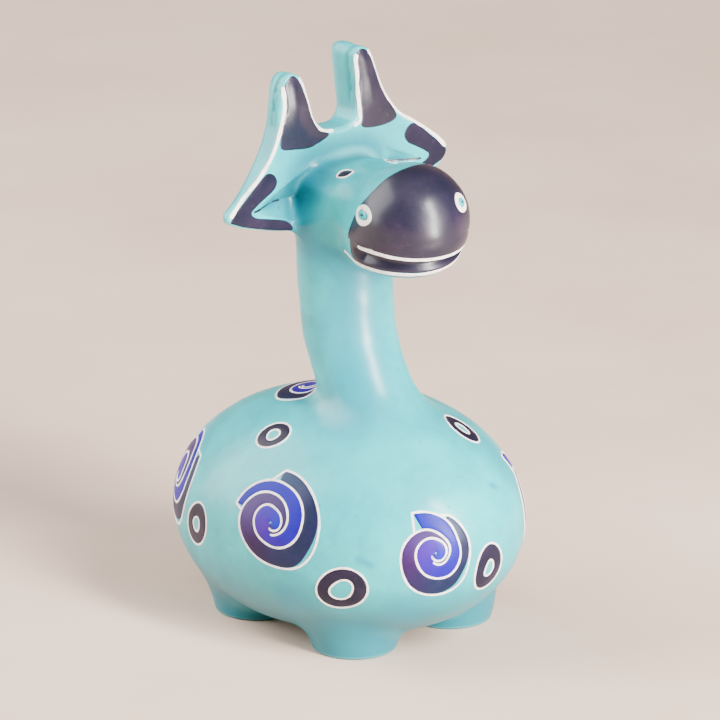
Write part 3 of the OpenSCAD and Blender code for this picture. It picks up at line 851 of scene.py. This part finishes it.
def ring(name, place, index):
    board = Spot(TORSO_MID, TORSO_HALF, *place[:3], TORSO_TILT)
    half = np.array(place[3:5])
    angle = np.arange(0, 360, 5.0)
    outer = ring_radius(angle, index, 0.02)
    hole = place[5] * ring_radius(angle, index * 1.7, 0.07)
    share = np.array([0, 0.08, 0.3, 0.5, 0.7, 0.92, 1])
    gap = 0.4 * LINE_W / half.mean()
    radius = (hole + gap)[:, None] + (outer - hole - 2 * gap)[:, None] * share
    flat = clock(radius, angle[:, None]).reshape(-1, 2) * half
    colours = spiral_colours(angle, 7, 0, 360)
    piece = dye_grid(name, board, flat, len(angle), 7, colours, closed=True)
    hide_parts(name)
    for part, r in (("outer", outer), ("hole", hole)):
        path = spaced(clock(r, angle) * half, 0.3, closed=True)
        engraved(f"{name}_{part}_line", board.surface(path), LINE_W * 0.9, closed=True, seed=index)


# ---------------------------------------------------------------- fields of any outline
def inset(outline, amount):
    """A closed outline moved inwards; the outline runs anticlockwise."""
    before, after = np.roll(outline, 1, 0), np.roll(outline, -1, 0)
    way = after - before
    way /= np.maximum(np.linalg.norm(way, axis=1, keepdims=True), 1e-9)
    return outline + amount * np.stack([-way[:, 1], way[:, 0]], 1)


def filled(outline, step=0.6):
    """Flat points and triangles that fill a closed outline, and which points are its rim."""
    outline = spaced(outline, 0.4, closed=True)
    area = 0.5 * (outline[:, 0] @ np.roll(outline[:, 1], -1) - outline[:, 1] @ np.roll(outline[:, 0], -1))
    if area < 0:
        outline = outline[::-1]
    inner = inset(outline, 0.15)
    low, high = outline.min(0), outline.max(0)
    xs, ys = np.meshgrid(np.arange(low[0], high[0], step), np.arange(low[1], high[1], step))
    inside = np.stack([xs.ravel(), ys.ravel()], 1)
    inside = inside[outline_distance(inside, outline) < -0.4]
    inner = inner[outline_distance(inner, outline) < -0.08]
    points = np.concatenate([outline, inner, inside])
    n = len(outline)
    edges = [(i, (i + 1) % n) for i in range(n)]
    out = geometry.delaunay_2d_cdt([Vector(p) for p in points], edges, [], 1, 1e-4)
    flat = np.array([(v.x, v.y) for v in out[0]])
    faces = [list(f) for f in out[2]]
    rim = np.abs(outline_distance(flat, outline)) < 0.03
    return flat, faces, rim


def dye_outline(name, board, outline, lift=DYE_LIFT, depth=0.5):
    """A dyed field inside a closed outline; depth is how much darker its dye is, on the scale that darkens
    the stone's hollows.
    """
    flat, faces, rim = filled(outline)
    points = board.surface(flat)
    normal = outward(points)
    faces = facing_out(faces, points, normal)
    colours = shade(np.full(len(flat), depth))
    piece = closed_skin(name, points, normal, np.where(rim, 0.01, lift), faces, colours)
    return piece


# ---------------------------------------------------------------- muzzle and mouth
def in_muzzle_dye(p):
    """Positive inside the dyed muzzle: in front of its rear edge and above the upper lip."""
    ahead = smooth_along(MUZZLE_EDGE[:, 0], MUZZLE_EDGE[:, 1], p[:, 2]) - p[:, 1]
    turn = lip_turn(p)
    above = p[:, 2] - upper_lip_z(turn) - UPPER_LIP_W * 0.42
    past = (turn < UPPER_SPAN[0]) | (turn > UPPER_SPAN[1])
    return np.minimum(ahead, np.where(past, above + 0.6, above))


def muzzle_board():
    """The muzzle's own axes: out of its tip, across, and up."""
    pole = np.array([0, -1, 0.05])
    pole /= np.linalg.norm(pole)
    u = np.cross([0, 0, 1], pole)
    u /= np.linalg.norm(u)
    return pole, u, np.cross(pole, u)


def out_of_muzzle(way):
    """The stone's surface in each direction from the muzzle's centre."""
    t = np.full(len(way), 6.0)
    for _ in range(30):
        t = t - stone_distance(MUZZLE[0] + way * t[:, None]) * 0.8
    return MUZZLE[0] + way * t[:, None]


def build_muzzle():
    pole, u, v = muzzle_board()
    around = np.radians(np.arange(0, 360, 2.5))
    ring_way = np.cos(around)[:, None] * u + np.sin(around)[:, None] * v
    spread = np.radians(np.arange(20, 150, 1.0))
    reach = np.empty(len(around))
    for i, way in enumerate(ring_way):
        rays = np.cos(spread)[:, None] * pole + np.sin(spread)[:, None] * way
        inside = in_muzzle_dye(out_of_muzzle(rays))
        last = np.argmax(inside < 0) if (inside < 0).any() else len(spread) - 1
        a, b = inside[last - 1], inside[last]
        reach[i] = spread[last - 1] + (spread[last] - spread[last - 1]) * a / (a - b)
    share = np.concatenate([np.linspace(0.02, 0.98, 40), [0.992, 1]])
    angle = reach[:, None] * share
    way = (np.cos(angle)[..., None] * pole + np.sin(angle)[..., None] * ring_way[:, None]).reshape(-1, 3)
    points = out_of_muzzle(way)
    normal = outward(points)
    columns = len(share)
    near_lip = soft_step((UPPER_LIP[0, 1] + 2.5 - points[:, 2]) / 2.5).reshape(len(around), columns)
    lift = DYE_LIFT + 0.16 * near_lip
    lift[:, -1] = 0.0
    middle = out_of_muzzle(pole[None])
    points = np.concatenate([points, middle])
    normal = np.concatenate([normal, outward(middle)])
    lift = np.append(lift.ravel(), DYE_LIFT)
    faces = grid_faces(len(around), columns, closed=True)
    hub = len(points) - 1
    faces += [[hub, (i + 1) % len(around) * columns, i * columns] for i in range(len(around))]
    faces = facing_out(faces, points, normal)
    colours = shade(np.append(np.tile(share, len(around)), 0))
    piece = closed_skin("muzzle_dye", points, normal, lift, faces, colours)
    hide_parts("muzzle_dye")


def out_of_jaw(turn, z):
    """The stone's surface at a turn round the jaw's centre and a height."""
    a = np.radians(turn)
    way = np.stack([np.cos(a), np.sin(a), 0 * a], 1)
    p = np.stack([JAW[0][0] + 25 * way[:, 0], JAW[0][1] + 25 * way[:, 1], z], 1)
    return drop(p, -way, 40)


def build_mouth():
    turn = np.arange(*GROOVE_SPAN, 1.2)
    past = (turn < UPPER_SPAN[0]) | (turn > UPPER_SPAN[1])
    top = upper_lip_z(turn) + UPPER_LIP_W * np.where(past, 0.4, -0.4)
    low = lower_lip_z(turn) + LOWER_LIP_W * 0.4
    share = np.linspace(0, 1, 26)
    z = low[:, None] + (top - low)[:, None] * share
    points = out_of_jaw(np.repeat(turn, len(share)), z.ravel())
    normal = outward(points)
    rows, columns = len(turn), len(share)
    lift = np.full((rows, columns), 0.12)
    lift[:, [0, -1]] = 0.0
    lift[[0, -1]] = 0.0
    faces = facing_out(grid_faces(rows, columns), points, normal)
    colours = shade(np.tile(share, rows))
    piece = closed_skin("mouth_groove_dye", points, normal, lift.ravel(), faces, colours)
    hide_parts("mouth_groove_dye")
    turn = np.arange(*UPPER_SPAN, 1.0)
    engraved("upper_lip_line", spaced(out_of_jaw(turn, upper_lip_z(turn)), 0.3), UPPER_LIP_W, seed=3.1,
             floor=0.13, rim=0.2)
    turn = np.arange(*LOWER_SPAN, 1.0)
    engraved("lower_lip_line", spaced(out_of_jaw(turn, lower_lip_z(turn)), 0.3), LOWER_LIP_W, seed=4.2,
             floor=0.12, rim=0.2)
    # A thin dark strip of painted shadow under the lower lip's line.
    turn = np.arange(LOWER_SPAN[0] + 22, LOWER_SPAN[1] - 22, 1.0)
    engraved("chin_shadow_dye", spaced(out_of_jaw(turn, lower_lip_z(turn) - 0.75), 0.3), 0.55, seed=2.2,
             floor=0.06, rim=0.06)


# ---------------------------------------------------------------- eyes and nostrils
def oval(half, angle, point=0.0):
    a = np.radians(angle)
    narrow = 1 - point * np.cos(a) ** 2
    return np.stack([half[0] * np.cos(a), half[1] * np.sin(a) * narrow], 1)


def build_eye(side):
    turn, rise = EYES[side]
    roll = -EYE_ROLL if side == "right" else EYE_ROLL
    board = Spot(*SKULL, turn, rise, roll)
    angle = np.arange(0, 360, 10.0)
    shape = oval(EYE_HALF, angle, 0.35)
    piece = dye_outline(f"{side}_eye_dye", board, shape)
    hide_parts(f"{side}_eye_dye")
    path = spaced(oval((EYE_HALF[0] + 0.2, EYE_HALF[1] + 0.2), angle, 0.3), 0.2, closed=True)
    engraved(f"{side}_eye_line", board.surface(path), 0.42, closed=True, seed=2.2)


def build_nostril(side):
    board = Spot(*MUZZLE, *NOSTRILS[side])
    angle = np.arange(0, 360, 10.0)
    wide = NOSTRIL_WIDE[side]
    piece = dye_outline(f"{side}_nostril_dye", board, oval((NOSTRIL_HOLE * wide, NOSTRIL_HOLE * 0.95), angle),
                        0.3, 0.2)
    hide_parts(f"{side}_nostril_dye")
    middle = (NOSTRIL_RING + NOSTRIL_HOLE) / 2
    path = spaced(oval((middle * wide, middle * 0.95), angle), 0.25, closed=True)
    engraved(f"{side}_nostril_line", board.surface(path), NOSTRIL_RING - NOSTRIL_HOLE + 0.1, closed=True,
             seed=1.4, floor=0.14, rim=0.16)
    shape = oval((0.45 * wide, 0.42), angle)
    dye_outline(f"{side}_nostril_dot_dye", board, shape, 0.42)


# ---------------------------------------------------------------- materials
class Look:
    """A material in the making: each method adds a node and gives its output."""

    def __init__(self, name):
        self.material = bpy.data.materials.new(name)
        self.material.use_nodes = True
        self.nodes, self.links = self.material.node_tree.nodes, self.material.node_tree.links
        self.shader = self.nodes["Principled BSDF"]
        self.where = self.nodes.new("ShaderNodeTexCoord").outputs["Object"]

    def put(self, value, socket):
        """Links an output to a socket, or sets the socket to a number or a colour."""
        if isinstance(value, bpy.types.NodeSocket):
            self.links.new(value, socket)
        elif isinstance(value, tuple) and len(value) == 3 and socket.type == "RGBA":
            socket.default_value = (*value, 1)
        else:
            socket.default_value = value

    def add(self, kind, **sockets):
        """A node with sockets set by name; an underscore in a name stands for a space."""
        node = self.nodes.new(f"ShaderNode{kind}")
        for name, value in sockets.items():
            self.put(value, node.inputs[name.replace("_", " ")])
        return node

    def noise(self, scale, detail=4.0, rough=0.55, where=None):
        n = self.add("TexNoise", Scale=scale, Detail=detail, Roughness=rough, Vector=where or self.where)
        return n.outputs["Fac"]

    def ramp(self, value, *stops):
        """Stops are a place from 0 to 1 and a colour, or a number for grey."""
        r = self.add("ValToRGB", Fac=value)
        while len(r.color_ramp.elements) < len(stops):
            r.color_ramp.elements.new(0.5)
        for element, (at, colour) in zip(r.color_ramp.elements, stops):
            element.position = at
            element.color = (*colour, 1) if isinstance(colour, tuple) else (colour, colour, colour, 1)
        return r.outputs["Color"]

    def times(self, a, b):
        m = self.nodes.new("ShaderNodeMath")
        m.operation = "MULTIPLY"
        m.use_clamp = True
        self.put(a, m.inputs[0])
        self.put(b, m.inputs[1])
        return m.outputs[0]

    def tint(self, base, colour, share, strength):
        """The base with some of a colour mixed in, where share says so."""
        m = self.nodes.new("ShaderNodeMix")
        m.data_type = "RGBA"
        self.put(self.times(share, strength), m.inputs["Factor"])
        self.put(base, m.inputs[6])
        self.put(colour, m.inputs[7])
        return m.outputs[2]

    def dye(self):
        """The mesh's own shares: red, green and blue."""
        attribute = self.nodes.new("ShaderNodeAttribute")
        attribute.attribute_name = "dye"
        return self.add("SeparateColor", Color=attribute.outputs["Color"]).outputs

    def scratches(self):
        """Fine sanding scratches: noise drawn out along two directions."""
        out = None
        for tilt, scale in ((0.6, 900.0), (-0.9, 700.0)):
            turn = (tilt, tilt * 0.7, tilt * 1.3)
            m = self.add("Mapping", Rotation=turn, Scale=(1, 0.06, 1), Vector=self.where)
            n = self.noise(scale, 3, 0.6, m.outputs["Vector"])
            out = n if out is None else self.times(out, n)
        return out

    def specks(self, scale, size):
        """Small dark inclusions, here and there."""
        v = self.add("TexVoronoi", Scale=scale, Vector=self.where)
        near = self.ramp(v.outputs["Distance"], (0, 1.0), (size, 0.0))
        chosen = self.ramp(self.noise(scale * 0.6, 2), (0.58, 0.0), (0.64, 1.0))
        return self.times(near, chosen)

    def bump(self, height, strength, depth):
        b = self.add("Bump", Strength=strength, Distance=depth, Height=height)
        self.links.new(b.outputs["Normal"], self.shader.inputs["Normal"])

    def waxed(self, base, rough, shine, coat, coat_rough, bump):
        """Finishes a dyed and waxed stone."""
        self.put(base, self.shader.inputs["Base Color"])
        self.shader.inputs["Roughness"].default_value = rough
        self.shader.inputs["Specular IOR Level"].default_value = shine
        self.shader.inputs["Coat Weight"].default_value = coat
        self.shader.inputs["Coat Roughness"].default_value = coat_rough
        self.bump(self.scratches(), bump, 0.0004)
        return self.material


def turquoise():
    look = Look("turquoise_dyed_stone")
    dye = look.dye()
    base = look.ramp(look.noise(38, 5, 0.6), (0.3, (0.0, 0.23, 0.27)), (0.52, (0.0, 0.32, 0.355)),
                     (0.72, (0.0, 0.42, 0.445)))
    base = look.tint(base, (0.0, 0.45, 0.47), look.noise(210, 4, 0.65), 0.25)
    wash = look.ramp(look.noise(95, 5, 0.7), (0.42, 0.0), (0.68, 1.0))
    base = look.tint(base, (0.01, 0.54, 0.54), wash, 0.4)
    stain = look.ramp(look.noise(120, 6, 0.75), (0.3, 1.0), (0.46, 0.0))
    base = look.tint(base, (0.0, 0.26, 0.32), stain, 0.45)
    # Painted shade, partly also dye, in hollows and low on the body: from the red share.
    dye_and_shade_mask = look.ramp(dye["Red"], (0.12, 0.0), (0.75, 1.0))
    base = look.tint(base, (0.0, 0.12, 0.16), dye_and_shade_mask, 0.9)
    # Dye streaks and stains with painted shade, from the green share.
    base = look.tint(base, (0.0, 0.19, 0.26), dye["Green"], 0.75)
    rub = look.ramp(dye["Blue"], (0.12, 0.0), (0.5, 1.0))
    base = look.tint(base, (0.22, 0.7, 0.68), rub, 0.4)
    base = look.tint(base, (0.01, 0.05, 0.08), look.specks(260, 0.16), 0.6)
    return look.waxed(base, 0.5, 0.1, 0.65, 0.28, bump=0.12)


def indigo(name="indigo_dyed_stone", shine=0.26, coat=0.3):
    look = Look(name)
    base = look.ramp(look.noise(150, 4, 0.6), (0.32, (0.006, 0.006, 0.016)), (0.5, (0.01, 0.008, 0.021)),
                     (0.7, (0.02, 0.013, 0.03)))
    worn_dust = look.ramp(look.scratches(), (0.36, 0.0), (0.52, 1.0))
    base = look.tint(base, (0.2, 0.14, 0.22), worn_dust, 0.12)
    return look.waxed(base, 0.38, shine, coat, 0.24, bump=0.15)


def banded_dark():
    look = Look("indigo_band_stone")
    along = look.ramp(look.dye()["Red"], (0.0, (0.01, 0.03, 0.07)), (0.12, (0.004, 0.007, 0.03)),
                      (0.3, (0.004, 0.012, 0.035)), (0.42, (0.02, 0.004, 0.04)),
                      (0.52, (0.04, 0.015, 0.1)), (0.75, (0.02, 0.012, 0.06)))
    pale = look.ramp(look.noise(220, 4, 0.6), (0.35, 0.0), (0.7, 1.0))
    base = look.tint(along, (0.05, 0.025, 0.11), pale, 0.2)
    return look.waxed(base, 0.4, 0.16, 0.0, 0.22, bump=0.12)


def ultramarine():
    look = Look("ultramarine_dyed_stone")
    along = look.ramp(look.dye()["Red"], (0.0, (0.002, 0.001, 0.21)), (0.3, (0.01, 0.0, 0.2)),
                      (0.5, (0.045, 0.004, 0.21)), (0.62, (0.03, 0.002, 0.2)),
                      (0.85, (0.002, 0.01, 0.3)), (0.97, (0.02, 0.008, 0.07)))
    light = look.ramp(look.noise(240, 4, 0.6), (0.4, 0.0), (0.7, 1.0))
    base = look.tint(along, (0.015, 0.004, 0.32), light, 0.3)
    return look.waxed(base, 0.4, 0.14, 0.0, 0.22, bump=0.12)


def bare():
    look = Look("bare_soapstone")
    grit = look.noise(900, 4, 0.7)
    base = look.ramp(grit, (0.3, (0.62, 0.52, 0.46)), (0.5, (0.84, 0.78, 0.74)), (0.7, (0.93, 0.9, 0.88)))
    look.put(base, look.shader.inputs["Base Color"])
    look.shader.inputs["Roughness"].default_value = 0.62
    look.bump(grit, 0.4, 0.0003)
    return look.material


def floor_material():
    look = Look("pale_floor")
    base = look.ramp(look.noise(14, 3), (0.3, (0.6, 0.43, 0.33)), (0.7, (0.66, 0.49, 0.39)))
    look.put(base, look.shader.inputs["Base Color"])
    look.shader.inputs["Roughness"].default_value = 0.75
    return look.material


# ---------------------------------------------------------------- stage
VIEW_TURN = 41.8
VIEW_FALL = 18.5
CAMERA_AT = (-0.9622, -1.0808, 0.5455)
LENS = 338.65


def camera():
    t, e = math.radians(VIEW_TURN), math.radians(VIEW_FALL)
    ahead = Vector((math.sin(t) * math.cos(e), math.cos(t) * math.cos(e), -math.sin(e)))
    right = Vector((math.cos(t), -math.sin(t), 0))
    up = right.cross(ahead)
    data = bpy.data.cameras.new("camera")
    data.lens = LENS
    data.sensor_width = 36
    data.clip_start = 0.05
    data.clip_end = 30
    cam = bpy.data.objects.new("camera", data)
    cam.matrix_world = Matrix.Translation(CAMERA_AT) @ Matrix((right, up, -ahead)).transposed().to_4x4()
    bpy.context.scene.collection.objects.link(cam)
    bpy.context.scene.camera = cam


def softbox(name, azimuth, elevation, away, size, power, colour=(1, 1, 1)):
    """An area light that looks at the giraffe; azimuth 0 is in front of it, 90 on its left."""
    a, e = math.radians(azimuth), math.radians(elevation)
    way = Vector((math.sin(a) * math.cos(e), -math.cos(a) * math.cos(e), math.sin(e)))
    data = bpy.data.lights.new(name, "AREA")
    data.shape = "RECTANGLE"
    data.size, data.size_y = size
    data.energy = power
    data.color = colour
    light = bpy.data.objects.new(name, data)
    light.location = Vector((0, 0, 0.06)) + way * away
    light.rotation_euler = (-way).to_track_quat("-Z", "Y").to_euler()
    bpy.context.scene.collection.objects.link(light)


def world(colour, strength):
    w = bpy.data.worlds.new("studio")
    w.use_nodes = True
    w.node_tree.nodes["Background"].inputs["Color"].default_value = (*colour, 1)
    w.node_tree.nodes["Background"].inputs["Strength"].default_value = strength
    bpy.context.scene.world = w


def floor():
    """A pale floor that curves up into a backdrop far behind."""
    half, bend, rise, back = 3.0, 0.6, 2.4, 3.2
    profile = [(-half, 0.0), (back - bend, 0.0)]
    profile += [(back - bend + bend * math.sin(a), bend - bend * math.cos(a))
                for a in np.linspace(0.1, math.pi / 2, 12)]
    profile += [(back, rise)]
    turn = Matrix.Rotation(-math.radians(VIEW_TURN), 4, "Z")
    points = [turn @ Vector((x, y, z)) for y, z in profile for x in (-half, half)]
    faces = [(2 * i, 2 * i + 1, 2 * i + 3, 2 * i + 2) for i in range(len(profile) - 1)]
    mesh = bpy.data.meshes.new("floor")
    mesh.from_pydata([tuple(p) for p in points], [], faces)
    mesh.shade_smooth()
    mesh.materials.append(floor_material())
    piece = bpy.data.objects.new("floor", mesh)
    bpy.context.scene.collection.objects.link(piece)
    piece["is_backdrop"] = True


# ---------------------------------------------------------------- assembly
def ear_outline(side):
    """The dyed V of the right ear, or its mirror image on the left, round the hollow."""
    if side == "right":
        return EAR_DYE
    return np.array(EAR_DYE) * [-1, 1] + LEFT_EAR_DYE_MOVE


def build_plate_marks(side):
    board = Front()
    for part, outline in (("horn", HORN_DYES[side]), ("ear", ear_outline(side))):
        shape = keep_inside(smooth_loop(outline, 4), 0.25)
        piece = dye_outline(f"{side}_{part}_dye", board, shape)
        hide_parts(f"{side}_{part}_dye")


def keep_inside(flat, margin):
    """Moves front view points that are outside the plate's outline to just inside it."""
    step = 0.2
    d = PLATE_FIELD.at(flat)
    gx = PLATE_FIELD.at(flat + [step, 0]) - PLATE_FIELD.at(flat - [step, 0])
    gz = PLATE_FIELD.at(flat + [0, step]) - PLATE_FIELD.at(flat - [0, step])
    way = np.stack([gx, gz], 1)
    way /= np.maximum(np.linalg.norm(way, axis=1, keepdims=True), 1e-6)
    return flat - way * np.maximum(d + margin, 0)[:, None]


def smooth_path(points, step):
    """Evenly spaced points on a smooth open curve."""
    q = np.asarray(points, float)
    at = np.arange(len(q))
    t = np.linspace(0, len(q) - 1, 20 * len(q))
    return spaced(np.stack([smooth_along(at, q[:, i], t) for i in range(q.shape[1])], 1), step)


def build_edge_lines():
    board = Front()
    for name, points in EDGE_LINES.items():
        path = keep_inside(smooth_path(points, 0.3), 0.3)
        engraved(f"{name}_edge_line", board.surface(path), EDGE_LINE, seed=0.7, wobble=0.25)


def build_ear_crease(side):
    (x0, z0), (x1, z1) = EAR_CREASE
    share = np.linspace(0.04, CREASE_END[side], 40)
    flat = np.stack([x0 + (x1 - x0) * share, z0 + (z1 - z0) * share], 1)
    if side == "left":
        flat = flat * [-1, 1] + [0, LEFT_EAR_RISE]
    # A dark strip of painted shade along the crease of each ear's hollow.
    engraved(f"{side}_ear_crease_painted_shade", Front().surface(flat), 0.65, seed=1.9, floor=0.12, rim=0.12)


def dress():
    """Gives each piece its material."""
    looks = {"turquoise": turquoise(), "indigo": indigo(), "band": banded_dark(),
             "blue": ultramarine(), "bare": bare(), "matt": indigo("matt_indigo_stone", 0.14, 0.04)}
    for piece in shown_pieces():
        name = piece.name.split(".")[0]
        if name.endswith("_line"):
            look = "bare"
        elif name == "stone_body" or name.endswith("nostril_dye"):
            look = "turquoise"
        elif name.endswith("_blue"):
            look = "blue"
        elif "spiral" in name:
            look = "band"
        elif name.endswith(("_ring", "_ear_dye")):
            look = "matt"
        else:
            look = "indigo"
        piece.data.materials.clear()
        piece.data.materials.append(looks[look])


def build():
    build_stone()
    for i, (name, spot) in enumerate(SPIRALS.items()):
        spiral(name, spot, i + 1.0)
    for i, (name, spot) in enumerate(RINGS.items()):
        ring(name, spot, i + 1.0)
    build_muzzle()
    build_mouth()
    for side in ("right", "left"):
        build_eye(side)
        build_nostril(side)
        build_plate_marks(side)
        build_ear_crease(side)
    build_edge_lines()


camera()
floor()
world((0.95, 0.96, 1.0), 0.25)
softbox("window", 1, 24, 1.1, (0.2, 1.0), 62, (1, 0.97, 0.95))
softbox("low_window", 1, -1, 0.34, (0.06, 0.09), 1.7, (1, 0.97, 0.95))
softbox("side_window", -140, 28, 1.3, (1.4, 1.4), 56)
softbox("ceiling", -60, 78, 1.3, (1.2, 1.2), 4)
build()
dress()
